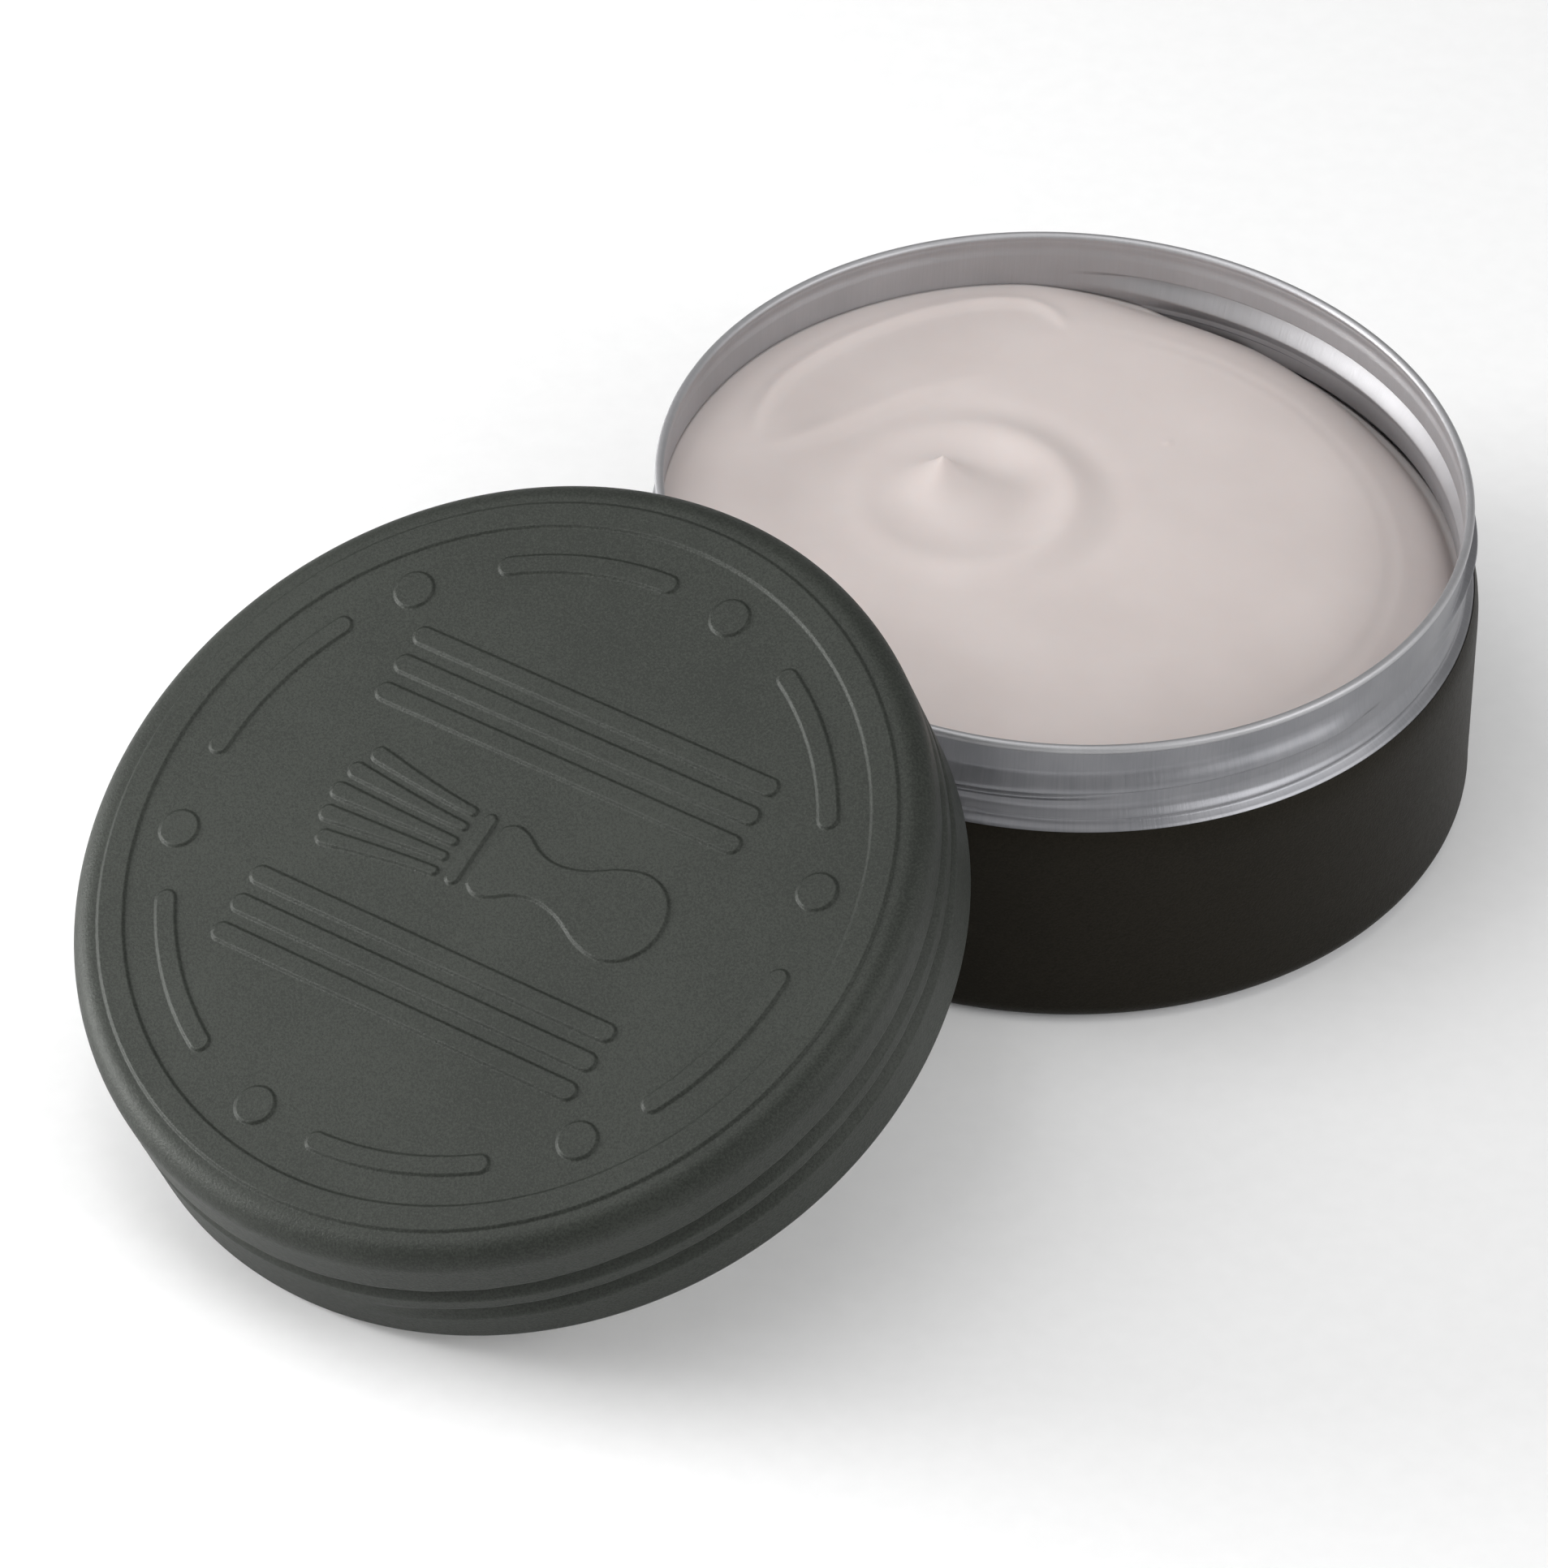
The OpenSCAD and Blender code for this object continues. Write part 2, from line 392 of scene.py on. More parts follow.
def soap_path(points, x, y):
    """Distance from a smooth path through points, positive on its left, and the share along it."""
    path = np.array(curve_through(points, 14, closed=False))
    best = np.full(x.shape, 1e9)
    signed = np.zeros(x.shape)
    along = np.zeros(x.shape)
    for k in range(len(path) - 1):
        a, d = path[k], path[k + 1] - path[k]
        length = math.hypot(*d)
        t = np.clip(((x - a[0]) * d[0] + (y - a[1]) * d[1]) / length**2, 0, 1)
        dx, dy = x - a[0] - t * d[0], y - a[1] - t * d[1]
        gap = np.hypot(dx, dy)
        side = np.where(d[0] * dy - d[1] * dx >= 0, 1, -1)
        nearer = gap < best
        best = np.where(nearer, gap, best)
        signed = np.where(nearer, gap * side, signed)
        along = np.where(nearer, (k + t) / (len(path) - 1), along)
    return signed, along


def curve_through(points, steps, closed=True):
    """Points of a Catmull-Rom curve through the given ones."""
    n = len(points)
    made = []
    for i in range(n if closed else n - 1):
        ids = [i - 1, i, i + 1, i + 2]
        p = [points[k % n] if closed else points[min(max(k, 0), n - 1)] for k in ids]
        for t in np.linspace(0, 1, steps, endpoint=False):
            weights = (
                (-t + 2 * t**2 - t**3) / 2,
                (2 - 5 * t**2 + 3 * t**3) / 2,
                (t + 4 * t**2 - 3 * t**3) / 2,
                (-(t**2) + t**3) / 2,
            )
            made.append(tuple(sum(w * q[axis] for w, q in zip(weights, p)) for axis in (0, 1)))
    if not closed:
        made.append(tuple(points[-1]))
    return made


def soap_fall(x, y):
    """How far the soap falls: gently to the right, and more where it has shrunk from the wall there."""
    turn = np.degrees(np.arctan2(y, x))
    from_wall = np.maximum(NECK_R - SHEET - np.hypot(x, y), 0)
    slope = 0.018 * x + 0.034 * 6 * np.log1p(np.exp(x / 6))
    side = smoothstep((98 - turn) / 25) * smoothstep((turn + 60) / 40)
    depth = 2.0 + 1.7 * smoothstep((76 - turn) / 50)
    return slope + side * depth * np.exp(-from_wall / 3.0)


def soap_peak(x, y):
    """The pointed peak that the spatula left, on its round foot."""
    tip = np.hypot(x - PEAK[0], y - PEAK[1])
    foot = np.hypot((x - PEAK_FOOT[0]) / 1.05, y - PEAK_FOOT[1])
    return 1.6 * np.exp(-tip / 1.3) + 1.6 * np.exp(-((foot / 3.3) ** 2))


def soap_swirl(x, y):
    """The low ring around the peak, with the moat inside it and a faint dip outside it."""
    around = np.arctan2(y - SWIRL[1], x - SWIRL[0])
    reach = SWIRL_R + 0.9 * np.cos(around - math.radians(250))
    out = np.hypot(x - SWIRL[0], y - SWIRL[1]) - reach
    strength = 0.5 + 0.5 * smoothstep(0.5 + 0.6 * np.cos(around - math.radians(10)))
    ring = 0.62 * np.exp(-((out / 2.0) ** 2))
    moat = 0.62 * np.exp(-(((out + 4.8) / 2.6) ** 2))
    dip = 0.20 * np.exp(-(((out - 3.8) / 1.8) ** 2))
    return strength * (ring - moat - dip)


def soap_lip(path, x, y, ends, lip, lip_width, hollow, edge, reach):
    """A lip along a path, which rises and fades over the shares in ends, and a hollow on its right."""
    gap, along = soap_path(path, x, y)
    right = np.maximum(0, -gap)
    fade = smoothstep(along / ends[0]) * smoothstep((1 - along) / ends[1])
    raised = lip * np.exp(-((gap / lip_width) ** 2))
    return fade * (raised - hollow * smoothstep(-gap / edge) * np.exp(-right / reach))


def soap_marks(x, y):
    """Faint turning marks near the right edge, one small crumb, and the unevenness of hand filling."""
    r = np.hypot(x, y)
    right = smoothstep(0.15 + 0.9 * np.cos(np.arctan2(y, x) - math.radians(18)))
    turning = 0.025 * right * np.cos((r - 31) * 2.6) * bell((r - 32.6) / 3.4)
    crumb = 0.11 * np.exp(-((np.hypot(x - CRUMB[0], y - CRUMB[1]) / 0.45) ** 2))
    uneven = 0.12 * np.sin(x / 9.5 + 1.2) * np.cos(y / 11 - 0.4)
    return turning + crumb + uneven + 0.06 * np.sin((x + 1.7 * y) / 7.5)


def soap_height(x, y):
    """Height of the smoothed soap over the tin's base."""
    share = np.clip(np.hypot(x, y) / (NECK_R - SHEET), 0, 1)
    h = SOAP_EDGE_Z + SOAP_DOME * np.cos(share * np.pi / 2)
    h = h - soap_fall(x, y) + soap_peak(x, y) + soap_swirl(x, y) + soap_marks(x, y)
    h += soap_lip(SCOOP, x, y, (0.22, 0.12), lip=0.30, lip_width=0.9, hollow=0.45, edge=1.2, reach=3.8)
    h += soap_lip(STROKE, x, y, (0.25, 0.45), lip=0.26, lip_width=1.3, hollow=0.50, edge=2.2, reach=4.5)
    return h


def soap_rim():
    """Radius of the soap for each THETA, against the tin's inside at the soap's own height."""
    edge = NECK_R - SHEET
    z = soap_height(edge * np.cos(THETA), edge * np.sin(THETA))
    shoulder_in = np.interp(z, [WALL_TOP + 1, ENAMEL_H - 0.5], [EDGE_R - SHEET + 0.3, edge + 0.25])
    return np.where(z < ENAMEL_H - 0.5, shoulder_in, neck_in(z - 0.1)) - 0.02


def soap_fill(material):
    """The soap: a square grid bent onto a disc, so that its whole surface has the same detail."""
    n = SOAP_GRID
    b = Builder()
    u, v = np.meshgrid(np.linspace(-1, 1, n + 1), np.linspace(-1, 1, n + 1), indexing="ij")
    radius = np.maximum(np.abs(u), np.abs(v))
    length = np.hypot(u, v)
    length[length == 0] = 1
    angle = np.arctan2(v, u)
    neck = np.interp(np.degrees(angle) % 360, THETA_DEG, soap_rim(), period=360)
    x, y = radius * u / length * neck, radius * v / length * neck
    z = soap_height(x, y)
    ids = np.array(b.add(np.stack([x.ravel(), y.ravel(), z.ravel()], 1))).reshape(n + 1, n + 1)
    for i in range(n):
        for j in range(n):
            b.faces.append((ids[i, j], ids[i + 1, j], ids[i + 1, j + 1], ids[i, j + 1]))
    rim = [*ids[:-1, 0], *ids[-1, :-1], *ids[:0:-1, -1], *ids[0, :0:-1]]
    top = np.array([b.points[i] for i in rim])
    turn = np.arctan2(top[:, 1], top[:, 0])
    within = [(NECK_R - SHEET - 0.1, ENAMEL_H - 0.5), (EDGE_R - SHEET - 0.2, ENAMEL_H - 1.6)]
    within += [(WALL_R - WALL_TAPER - SHEET, WALL_TOP), (WALL_R - SHEET, BASE_ROUND + 1)]
    within += [(WALL_R - BASE_ROUND, SOAP_BASE_Z), (20, SOAP_BASE_Z)]
    clear = 0.06
    loops = [list(rim)]
    for step, (r, z) in enumerate(within, 1):
        below = np.minimum(z, top[:, 2] - 0.2 * step)
        columns = ((r - clear) * np.cos(turn), (r - clear) * np.sin(turn), below)
        loops.append(b.add(np.stack(columns, 1)))
    b.strips(loops[::-1])
    b.fan(loops[-1], (0, 0, SOAP_BASE_Z), reverse=True)
    piece = b.make("soap_fill", material)
    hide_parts("soap_puck")
    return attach(piece, "tin")


# ---------------------------------------------------------------- the lid

RELIEF = 0.24
LID_TOP = LID_H - RELIEF
LID_ROUND = 2.5
RING_IN = 36
RING_OUT = 38.6
DOT_CIRCLE = 31.9
DOT_D = 3.9
DOT_COUNT = 6
DASH_W = 1.95
DASH_ANGLE = 33
DASH_OFFSET = 28.4
DOT_TURN = 18.2
BAR_L = 42
BAR_FIRST = 10.8
BAR_STEP = 3.3
BARS = 3

# Cross-section of a raised edge: (how far outside the outline, share of the relief)
EMBOSS = [
    (0.24, 0),
    (0.19, 0),
    (0.11, 0.1),
    (0.04, 0.36),
    (-0.04, 0.66),
    (-0.11, 0.9),
    (-0.19, 1),
    (-0.24, 1),
]

# The lid's thread has two starts. Angles run clockwise from each start, in the lid's own axes.
LID_STARTS = (62.8, 242.8)
LID_THREAD_LENGTH = 322
LID_THREAD_LEAD = 7
LID_THREAD_TOP = 4.1
LID_THREAD_UP = 0.6
LID_THREAD_DOWN = 1.55
LID_THREAD_DEPTH = 1.3
SKIRT_STEP = 0.14
HEM_EDGE = 0.08


def lid_out(z):
    """Outside radius of the lid's skirt at height z over the hem, for each angle."""
    r = LID_R + 0 * THETA
    for start in LID_STARTS:
        along = (start - THETA_DEG) % 360
        deepest = LID_TOP - LID_THREAD_TOP - LID_THREAD_LEAD * along / 360
        ends = smoothstep(along / 38) * smoothstep((LID_THREAD_LENGTH - along) / 30)
        groove = ridge(z, deepest, LID_THREAD_UP, LID_THREAD_DOWN)
        r = r - LID_THREAD_DEPTH * ends * groove
    return r


def skirt_loops(b, drop, low):
    """Rings of the skirt from height low to the shoulder, moved in by drop."""
    top = LID_TOP - LID_ROUND
    heights = [low, low + 0.12, *np.arange(low + 0.3, top, SKIRT_STEP)]
    return [b.ring(lid_out(z) - drop, z) for z in heights]


def corner_loops(b, drop, steps):
    """Rings of the round corner between the skirt and the top, moved in by drop."""
    corner = arc(LID_R - LID_ROUND, LID_TOP - LID_ROUND, LID_ROUND - drop, 0, 90, steps)
    return [b.ring(r, z) for r, z in corner]


def stadium(length, width, grow):
    """A bar with round ends, lying along X."""
    half = (length - width) / 2
    radius = width / 2 + grow
    ends = [(half, -90), (-half, 90)]
    turns = np.radians(np.linspace(0, 180, 13))
    return [
        (x + radius * math.cos(math.radians(a) + t), radius * math.sin(math.radians(a) + t))
        for x, a in ends
        for t in turns
    ]


def dash(grow):
    """A dash with round ends, bent along the circle of the dots and centred on +X."""
    half = math.radians(DASH_ANGLE) / 2 - math.asin(DASH_W / 2 / DOT_CIRCLE)
    radius = DASH_W / 2 + grow
    turns = np.linspace(-half, half, 25)
    caps = np.linspace(0, math.pi, 11)[1:-1]
    outer = [polar(DOT_CIRCLE + radius, a) for a in turns]
    inner = [polar(DOT_CIRCLE - radius, a) for a in turns]

    def cap(at, start):
        x, y = polar(DOT_CIRCLE, at)
        return [(x + radius * math.cos(start + c), y + radius * math.sin(start + c)) for c in caps]

    return outer + cap(half, half) + inner[::-1] + cap(-half, -half + math.pi)


def dot(grow):
    turns = np.linspace(0, 2 * math.pi, 40, endpoint=False)
    return [polar(DOT_D / 2 + grow, a) for a in turns]


def grown(outline, grow):
    """A smooth closed outline, running anticlockwise, moved out by grow."""
    p = np.array(outline)
    ahead = np.roll(p, -1, 0) - p
    ahead /= np.linalg.norm(ahead, axis=1)[:, None]
    tangent = ahead + np.roll(ahead, 1, 0)
    tangent /= np.linalg.norm(tangent, axis=1)[:, None]
    return [(x + grow * ty, y - grow * tx) for (x, y), (tx, ty) in zip(p, tangent)]


def moved(outline, turn=0.0, x=0.0, y=0.0):
    c, s = math.cos(math.radians(turn)), math.sin(math.radians(turn))
    return [(x + c * px - s * py, y + s * px + c * py) for px, py in outline]


# The brush figure: half widths of the handle along the figure, and its hair as five locks
HANDLE = [
    (-1.15, 2.5),
    (-0.7, 3.5),
    (0.4, 3.95),
    (1.9, 3.55),
    (3.7, 2.5),
    (6.0, 2.05),
    (8.8, 2.6),
    (12.0, 4.2),
    (14.8, 4.75),
    (17.2, 3.9),
    (18.6, 2.1),
]
HANDLE_TIP = 19.05
COLLAR_X = -2.65
COLLAR_L = 7.9
COLLAR_W = 1.3
LOCKS = 5
HAIR_BASE = -4.75
HAIR_TIP = -19.0
HAIR_GAP = 0.8


def half_width_of_hair(x):
    """Half the width of the brush's hair at x."""
    t = (HAIR_BASE - x) / (HAIR_BASE - HAIR_TIP)
    return 4.3 + 2.2 * t**1.3


def lock(index):
    """One lock of the hair, wider towards its tip, with round ends."""
    low, high = 2 * index / LOCKS - 1, 2 * (index + 1) / LOCKS - 1
    middle = (low + high) / 2
    tip = HAIR_TIP + 2.3 * middle**2

    def side(x, share, gap):
        return share * half_width_of_hair(x) + gap / 2

    def end(x, start):
        top, bottom = side(x, high, -HAIR_GAP), side(x, low, HAIR_GAP)
        centre, reach = (top + bottom) / 2, (top - bottom) / 2
        turns = np.radians(start + np.linspace(0, 180, 11))
        return [(x + reach * math.cos(a), centre + reach * math.sin(a)) for a in turns]

    between = np.linspace(HAIR_BASE, tip + 0.9, 8)[1:-1]
    upper = [(x, side(x, high, -HAIR_GAP)) for x in between]
    lower = [(x, side(x, low, HAIR_GAP)) for x in between[::-1]]
    return end(HAIR_BASE, -90) + upper + end(tip + 0.9, 90) + lower


def handle_outline():
    lower = [(x, -w) for x, w in HANDLE]
    return curve_through([*lower, (HANDLE_TIP, 0), *HANDLE[::-1]], 4)


def figures():
    """Every raised figure inside the ring, as a function of how far its outline is grown."""
    made = []
    for i in range(DOT_COUNT):
        at = DOT_TURN + 360 / DOT_COUNT * i
        x, y = polar(DOT_CIRCLE, math.radians(at))
        made.append(lambda grow, x=x, y=y: moved(dot(grow), x=x, y=y))
        made.append(lambda grow, at=at: moved(dash(grow), turn=at + DASH_OFFSET))
    for side in (-1, 1):
        for i in range(BARS):
            y = side * (BAR_FIRST + i * BAR_STEP)
            made.append(lambda grow, y=y: moved(stadium(BAR_L, DASH_W, grow), y=y))
    made.append(lambda grow: moved(stadium(COLLAR_L, COLLAR_W, grow), turn=90, x=COLLAR_X))
    for outline in [handle_outline(), *[lock(k) for k in range(LOCKS)]]:
        made.append(lambda grow, outline=outline: grown(outline, grow))
    return made


def lid_coat(material):
    """The enamel outside the lid, with the pattern that is pressed into the sheet under it."""
    b = Builder()
    loops = skirt_loops(b, 0, HEM_BARE)
    loops += corner_loops(b, 0, 16)
    edge = [(grow, LID_TOP + RELIEF * share) for grow, share in EMBOSS]
    loops += [b.ring(RING_OUT + grow, z) for grow, z in edge]
    loops += [b.ring(RING_IN - grow, z) for grow, z in edge[::-1]]
    b.strips(loops)
    feet = []
    for figure in figures():
        rings = [b.add([(x, y, z) for x, y in figure(grow)]) for grow, z in edge]
        b.strips(rings)
        b.fill(rings[-1])
        feet.append(rings[0])
    b.fill(loops[-1], feet)
    skin = ENAMEL - SKIN_GAP
    under = skirt_loops(b, skin, HEM_BARE) + corner_loops(b, skin, 8)
    b.strips(under[::-1])
    b.fan(under[-1], (0, 0, LID_TOP - skin), reverse=True)
    b.bridge(under[0], loops[0])
    piece = b.make("lid_coat", material, LID_PLACE)
    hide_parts("lid_enamel")
    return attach(piece, "lid")


def lid_metal(material):
    """The lid's drawn sheet: bare inside, and bare at the cut edge of its hem."""
    b = Builder()
    thick = ENAMEL + SHEET
    outer = skirt_loops(b, ENAMEL, HEM_EDGE) + corner_loops(b, ENAMEL, 8)
    inner = skirt_loops(b, thick, HEM_EDGE) + corner_loops(b, thick, 8)
    hem = [b.ring(LID_R - ENAMEL - HEM_EDGE, 0), b.ring(LID_R - thick + HEM_EDGE, 0)]
    b.strips(outer)
    b.fan(outer[-1], (0, 0, LID_TOP - ENAMEL))
    b.strips(inner[::-1])
    b.fan(inner[-1], (0, 0, LID_TOP - thick), reverse=True)
    b.strips([inner[0], hem[1], hem[0], outer[0]])
    piece = b.make("lid_metal", material, LID_PLACE)
    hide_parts("lid_shell")
    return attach(piece, "lid")


def liner_foam(material):
    """The round foam wad that seals the tin, loose inside the lid, with a soft cut edge."""
    b = Builder()
    soft = 0.25
    profile = [(LINER_R * k / 12, LINER_LOW) for k in range(1, 12)]
    profile += arc(LINER_R - soft, LINER_LOW + soft, soft, -90, 0, 5)
    profile += arc(LINER_R - soft, LINER_HIGH - soft, soft, 0, 90, 5)
    profile += [(LINER_R * k / 12, LINER_HIGH) for k in range(11, 0, -1)]
    loops = [b.ring(r, z) for r, z in profile]
    b.strips(loops)
    b.fan(loops[0], (0, 0, LINER_LOW), reverse=True)
    b.fan(loops[-1], (0, 0, LINER_HIGH))
    piece = b.make("liner_foam", material, LID_PLACE)
    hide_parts("lid_liner")
    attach(piece, "liner")
    return piece


# ---------------------------------------------------------------- materials


class Nodes:
    """A short way to write a node material, which runs along the axes of the given place."""

    def __init__(self, name, place=UPRIGHT):
        self.material = bpy.data.materials.new(name)
        self.material.use_nodes = True
        self.tree = self.material.node_tree
        self.shader = self.tree.nodes["Principled BSDF"]
        upright = self.add("ShaderNodeMapping")
        self.link(self.add("ShaderNodeTexCoord").outputs["Object"], upright.inputs["Vector"])
        back = place.inverted()
        upright.inputs["Location"].default_value = back.translation
        upright.inputs["Rotation"].default_value = back.to_euler()
        self.place = upright.outputs["Vector"]

    def add(self, kind, **settings):
        node = self.tree.nodes.new(kind)
        for key, value in settings.items():
            setattr(node, key, value)
        return node

    def link(self, source, target):
        if hasattr(source, "is_linked"):
            self.tree.links.new(source, target)
        else:
            target.default_value = source

    def math(self, operation, a, b=0.0):
        node = self.add("ShaderNodeMath", operation=operation)
        self.link(a, node.inputs[0])
        self.link(b, node.inputs[1])
        return node.outputs[0]

    def noise(self, place, scale, detail=2.0, roughness=0.5):
        node = self.add("ShaderNodeTexNoise")
        self.link(place, node.inputs["Vector"])
        node.inputs["Scale"].default_value = scale
        node.inputs["Detail"].default_value = detail
        node.inputs["Roughness"].default_value = roughness
        return node.outputs["Fac"]

    def stretched(self, x, y, z):
        """The object's place with each axis scaled."""
        node = self.add("ShaderNodeMapping")
        self.link(self.place, node.inputs["Vector"])
        node.inputs["Scale"].default_value = (x, y, z)
        return node.outputs["Vector"]

    def round_wall(self, radius, around, along):
        """Place on a wall about Z: the arc length times around, and the height times along."""
        split = self.add("ShaderNodeSeparateXYZ")
        self.link(self.place, split.inputs[0])
        angle = self.math("ARCTAN2", split.outputs["Y"], split.outputs["X"])
        join = self.add("ShaderNodeCombineXYZ")
        self.link(self.math("MULTIPLY", angle, radius * around), join.inputs["X"])
        self.link(self.math("MULTIPLY", split.outputs["Z"], along), join.inputs["Y"])
        return join.outputs[0]

    def range(self, value, low, high):
        """value, which runs from 0 to 1, mapped to low to high."""
        node = self.add("ShaderNodeMapRange")
        self.link(value, node.inputs["Value"])
        node.inputs["To Min"].default_value = low
        node.inputs["To Max"].default_value = high
        return node.outputs["Result"]

    def ramp(self, value, *stops):
        node = self.add("ShaderNodeValToRGB")
        self.link(value, node.inputs["Fac"])
        marks = node.color_ramp.elements
        while len(marks) < len(stops):
            marks.new(0.5)
        for mark, (at, colour) in zip(marks, stops):
            mark.position = at
            mark.color = (*colour, 1)
        return node.outputs["Color"]

    def bump(self, height, strength, distance, below=None):
        node = self.add("ShaderNodeBump")
        self.link(height, node.inputs["Height"])
        node.inputs["Strength"].default_value = strength
        node.inputs["Distance"].default_value = distance
        if below is not None:
            self.link(below, node.inputs["Normal"])
        return node.outputs["Normal"]

    def set(self, **values):
        for key, value in values.items():
            self.link(value, self.shader.inputs[key.replace("_", " ")])
        return self.material


def aluminium(name, dark, light, rough, place=UPRIGHT):
    """Drawn aluminium: satin, with fine lines along the draw and faint ones around it."""
    n = Nodes(name, place)
    radius = NECK_R * MM
    lines = n.noise(n.round_wall(radius, 3800, 160), 1.0, 3.0, 0.6)
    rounds = n.noise(n.round_wall(radius, 12, 5200), 1.0, 2.0, 0.5)
    cloud = n.noise(n.place, 140, 3.0)
    grain = n.noise(n.place, 5200, 2.0)
    mixed = n.math("ADD", n.math("MULTIPLY", cloud, 0.6), n.math("MULTIPLY", lines, 0.4))
    tint = n.ramp(mixed, (0.35, dark), (0.65, light))
    gloss = n.range(lines, rough - 0.07, rough + 0.07)
    normal = n.bump(lines, 0.5, 0.00003)
    normal = n.bump(rounds, 0.03, 0.00002, normal)
    normal = n.bump(grain, 0.10, 0.00002, normal)
    return n.set(Base_Color=tint, Metallic=1.0, Roughness=gloss, Normal=normal)


def enamel(name, dark, light, rough, shine, gloss_tint):
    """Baked matt enamel: a fine even grain, and a faint cloudiness in its colour and gloss."""
    n = Nodes(name)
    grain = n.noise(n.place, 4200, 2.0, 0.7)
    coarse = n.noise(n.place, 1500, 2.0)
    cloud = n.noise(n.place, 60, 3.0)
    mixed = n.math("ADD", n.math("MULTIPLY", grain, 0.75), n.math("MULTIPLY", cloud, 0.25))
    tint = n.ramp(mixed, (0.42, dark), (0.58, light))
    gloss = n.range(coarse, rough - 0.06, rough + 0.06)
    normal = n.bump(grain, 0.85, 0.00005)
    normal = n.bump(coarse, 0.3, 0.00005, normal)
    n.shader.inputs["Specular Tint"].default_value = (*gloss_tint, 1)
    return n.set(Base_Color=tint, Roughness=gloss, Specular_IOR_Level=shine, Normal=normal)


def cream():
    """Shaving soap smoothed by hand: soft, a little translucent, with a satin skin."""
    n = Nodes("shaving_soap")
    cloud = n.noise(n.place, 70, 4.0)
    fine = n.noise(n.place, 900, 3.0)
    drag = n.noise(n.stretched(160, 420, 160), 1.0, 3.0)
    tint = n.ramp(cloud, (0.3, (0.60, 0.535, 0.515)), (0.7, (0.645, 0.58, 0.56)))
    gloss = n.range(drag, 0.36, 0.52)
    normal = n.bump(drag, 0.12, 0.00012)
    normal = n.bump(fine, 0.08, 0.00004, normal)
    n.shader.inputs["Subsurface Radius"].default_value = (1.0, 0.72, 0.6)
    return n.set(
        Base_Color=tint,
        Roughness=gloss,
        Specular_IOR_Level=0.4,
        Subsurface_Weight=0.35,
        Subsurface_Scale=0.0016,
        Normal=normal,
    )


def foam():
    """Closed-cell foam: white, matt, with fine cells."""
    n = Nodes("liner_foam")
    cells = n.add("ShaderNodeTexVoronoi")
    n.link(n.place, cells.inputs["Vector"])
    cells.inputs["Scale"].default_value = 2600
    cloud = n.noise(n.place, 220, 3.0)
    tint = n.ramp(cloud, (0.3, (0.80, 0.80, 0.775)), (0.7, (0.87, 0.87, 0.85)))
    rough = n.range(cloud, 0.72, 0.88)
    normal = n.bump(cells.outputs["Distance"], 0.35, 0.00006)
    return n.set(Base_Color=tint, Roughness=rough, Normal=normal)


def floor_paper():
    n = Nodes("studio_paper")
    fibre = n.noise(n.place, 400, 4.0)
    tint = n.ramp(fibre, (0.3, (0.93, 0.93, 0.93)), (0.7, (0.95, 0.95, 0.95)))
    normal = n.bump(fibre, 0.05, 0.0001)
    return n.set(Base_Color=tint, Roughness=0.7, Normal=normal)


# ---------------------------------------------------------------- studio

FLOOR_HALF = 2500


def studio_floor():
    b = Builder()
    h = FLOOR_HALF
    b.faces.append(tuple(b.add([(-h, -h, 0), (h, -h, 0), (h, h, 0), (-h, h, 0)])))
    b.make("studio_floor", floor_paper())


def camera():
    """The view from the front and 41 degrees above, rolled by 2.6 degrees. Angles are in radians."""
    down, aside, roll = 0.7145, 0.0064, 0.0449
    data = bpy.data.cameras.new("camera")
    data.lens = 217.4
    data.sensor_width = 36
    data.clip_end = 50
    made = bpy.data.objects.new("camera", data)
    made.matrix_world = (
        Matrix.Translation(Vector((-22.26, -712.01, 610.21)) * MM)
        @ Matrix.Rotation(aside, 4, "Z")
        @ Matrix.Rotation(math.pi / 2 - down, 4, "X")
        @ Matrix.Rotation(roll, 4, "Z")
    )
    bpy.context.scene.collection.objects.link(made)
    bpy.context.scene.camera = made


def softbox(name, azimuth, elevation, distance, size, power):
    """A square soft light aimed at the object, from azimuth 0 at the front or 90 at the right."""
    a, e = math.radians(azimuth), math.radians(elevation)
    towards = Vector((math.sin(a) * math.cos(e), -math.cos(a) * math.cos(e), math.sin(e)))
    data = bpy.data.lights.new(name, "AREA")
    data.shape = "SQUARE"
    data.size = size
    data.energy = power
    made = bpy.data.objects.new(name, data)
    made.location = Vector((0, 0, 0.02)) + towards * distance
    made.rotation_mode = "QUATERNION"
    made.rotation_quaternion = towards.to_track_quat("Z", "Y")
    bpy.context.scene.collection.objects.link(made)


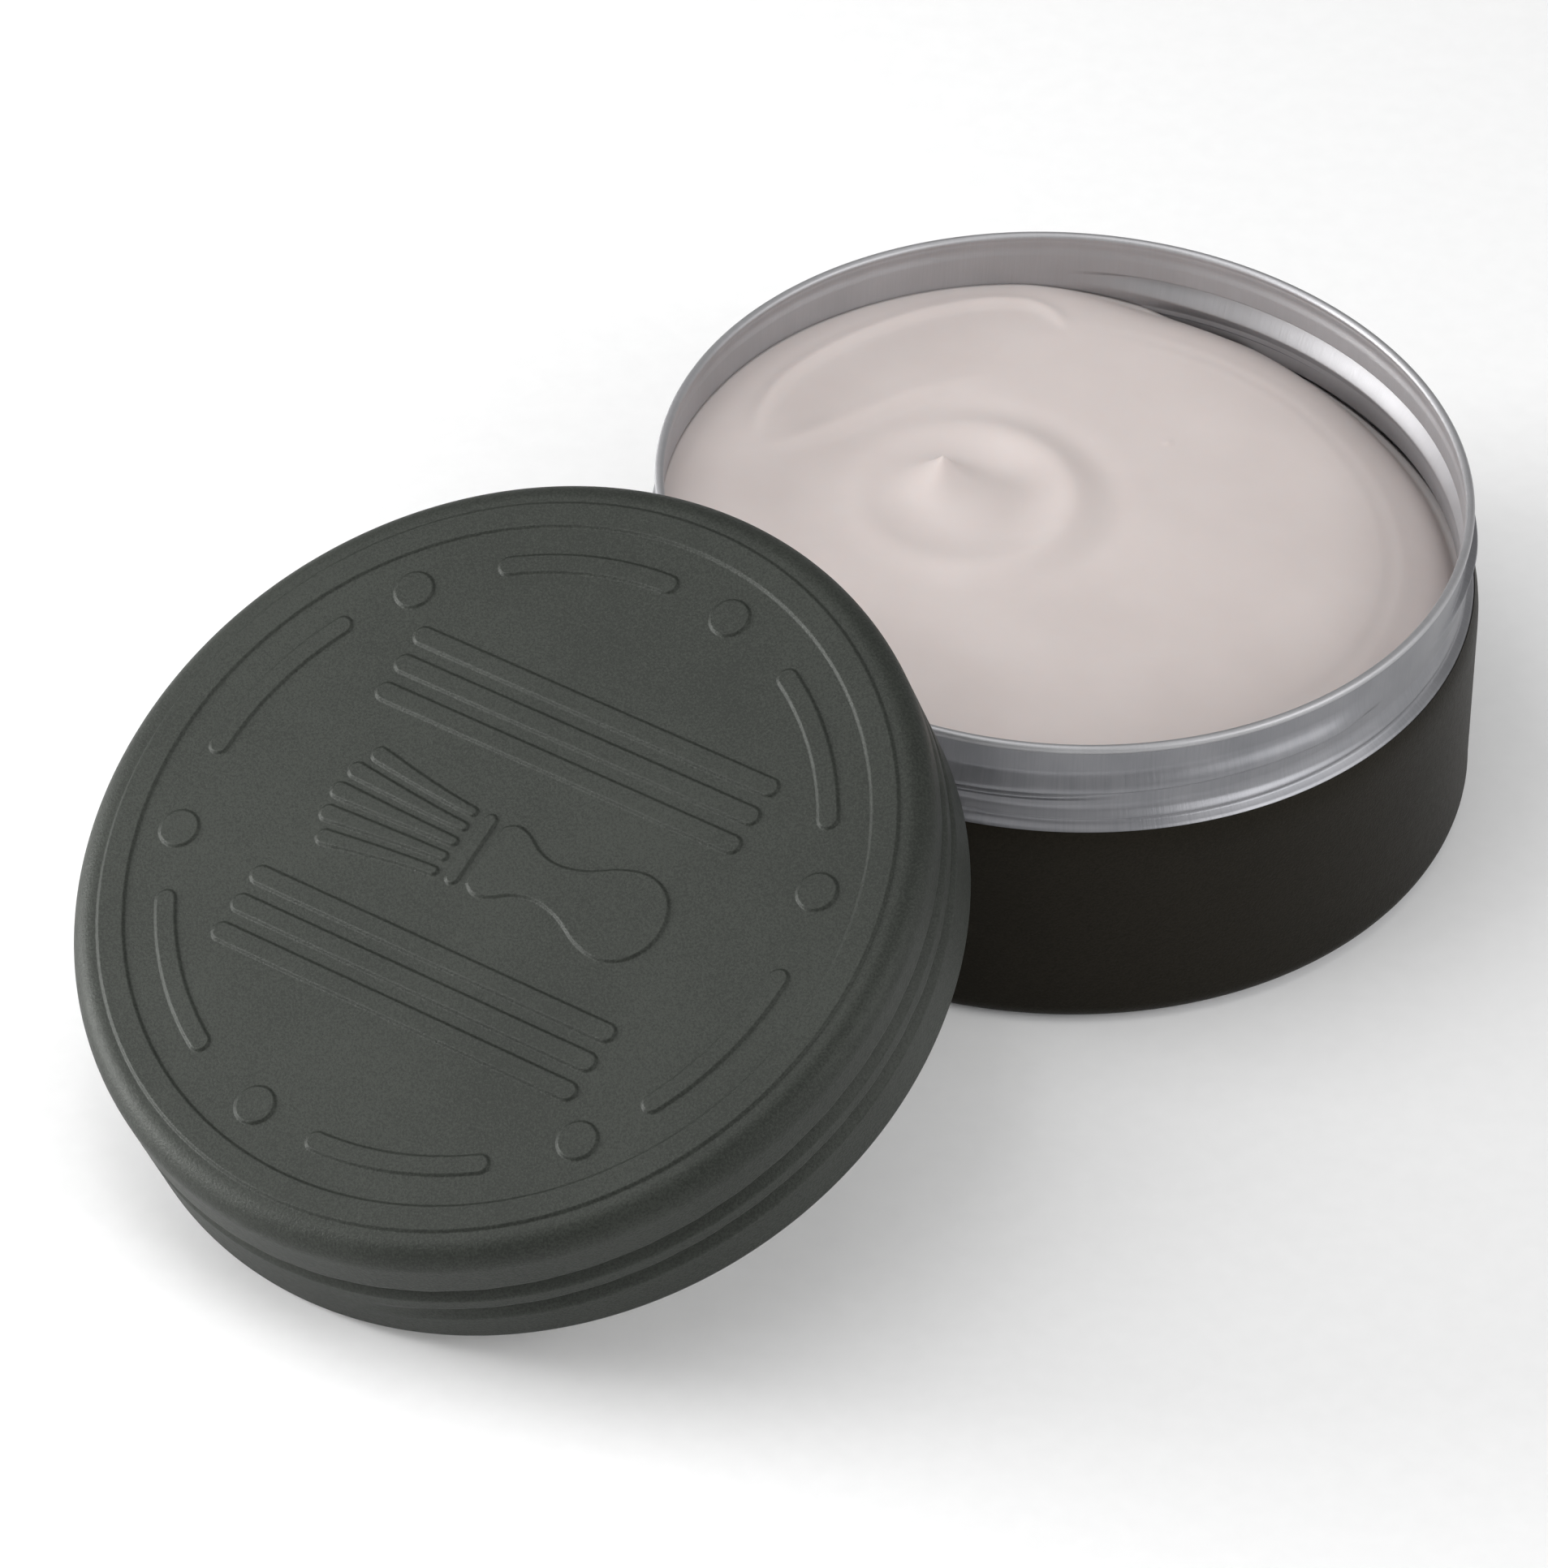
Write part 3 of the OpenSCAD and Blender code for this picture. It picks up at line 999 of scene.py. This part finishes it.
def world(front, back):
    """A plain white studio that is brighter in front of the object (-Y) than behind it."""
    made = bpy.data.worlds.new("studio")
    made.use_nodes = True
    tree = made.node_tree
    split = tree.nodes.new("ShaderNodeSeparateXYZ")
    tree.links.new(tree.nodes.new("ShaderNodeTexCoord").outputs["Generated"], split.inputs[0])
    level = tree.nodes.new("ShaderNodeMapRange")
    level.inputs["From Min"].default_value = -1
    level.inputs["To Min"].default_value = front
    level.inputs["To Max"].default_value = back
    tree.links.new(split.outputs["Y"], level.inputs["Value"])
    tree.links.new(level.outputs["Result"], tree.nodes["Background"].inputs["Strength"])
    tree.nodes["Background"].inputs["Color"].default_value = (1, 1, 1, 1)
    bpy.context.scene.world = made


camera()
world(front=0.46, back=0.33)
softbox("key_left", azimuth=-80, elevation=60, distance=0.42, size=0.32, power=0.62)
softbox("low_left", azimuth=-88, elevation=12, distance=0.45, size=0.20, power=2.0)
softbox("top", azimuth=0, elevation=88, distance=1.0, size=0.8, power=1.25)
softbox("front_right", azimuth=52, elevation=30, distance=0.9, size=0.4, power=1.6)
softbox("fill_right", azimuth=75, elevation=25, distance=0.8, size=0.5, power=1.5)
studio_floor()

# One aluminium in two shades: the bare set is painted darker for the neck and lid (painted shade), and
# the tin's inside set is a lighter copy of it (painted light on the inner wall).
BARE = {"dark": (0.235, 0.238, 0.253), "light": (0.295, 0.295, 0.31), "rough": 0.41}
LIT_INSIDE = {"dark": (0.44, 0.438, 0.45), "light": (0.495, 0.493, 0.507), "rough": 0.54}
GREY_BROWN = {
    "dark": (0.0042, 0.0035, 0.002),
    "light": (0.0085, 0.007, 0.0047),
    "rough": 0.50,
    "shine": 0.15,
    "gloss_tint": (1, 0.93, 0.78),
}
GREY_GREEN = {
    "dark": (0.0125, 0.0145, 0.0118),
    "light": (0.026, 0.0292, 0.0245),
    "rough": 0.52,
    "shine": 0.34,
    "gloss_tint": (0.97, 1, 0.95),
}

tin_shell(aluminium("tin_aluminium", **BARE), aluminium("tin_inside", **LIT_INSIDE))
tin_coat(enamel("tin_enamel", **GREY_BROWN))
soap_fill(cream())
lid_metal(aluminium("lid_aluminium", **BARE, place=LID_PLACE))
lid_coat(enamel("lid_enamel", **GREY_GREEN))
liner_foam(foam())

bpy.context.scene.view_settings.view_transform = "Standard"
